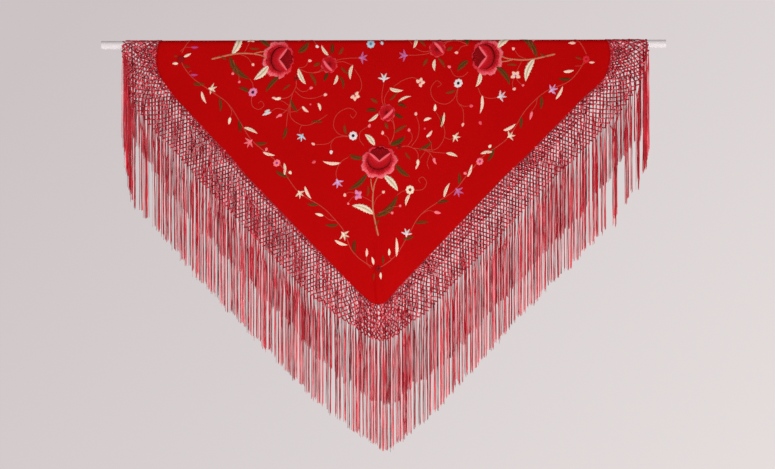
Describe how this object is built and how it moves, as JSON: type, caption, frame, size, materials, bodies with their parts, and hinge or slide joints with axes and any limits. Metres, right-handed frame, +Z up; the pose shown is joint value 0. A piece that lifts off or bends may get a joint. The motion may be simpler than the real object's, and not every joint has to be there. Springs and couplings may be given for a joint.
{
  "type": "fringed flamenco shawl hung over a round pole",
  "caption": "Square red crepe shawl with sewn flowers, a knotted net border and long fringe, folded corner to corner over a white round pole.",
  "frame": {"origin": "on the pole's axis, at the middle of the pole's length", "axes": "+X along the pole, towards the right as seen from the front; +Y towards the shorter, back layer; +Z up"},
  "size_m": [2.1, 0.0522, 1.5242],
  "materials": {
    "crepe_red": "matt",
    "net_red": "satin",
    "fringe_red": "satin",
    "pole_white": "gloss paint"
  },
  "bodies": {
    "root": {"pole": "pole_white", "cloth_over_pole": "crepe_red", "cloth_front": "crepe_red", "cloth_back": "crepe_red", "net_over_pole_left": "net_red", "net_over_pole_right": "net_red", "net_front_left": "net_red", "net_front_right": "net_red", "net_back_left": "net_red", "net_back_right": "net_red", "fringe_front_left": "fringe_red", "fringe_front_right": "fringe_red", "fringe_back_left": "fringe_red", "fringe_back_right": "fringe_red"}
  },
  "joints": []
}
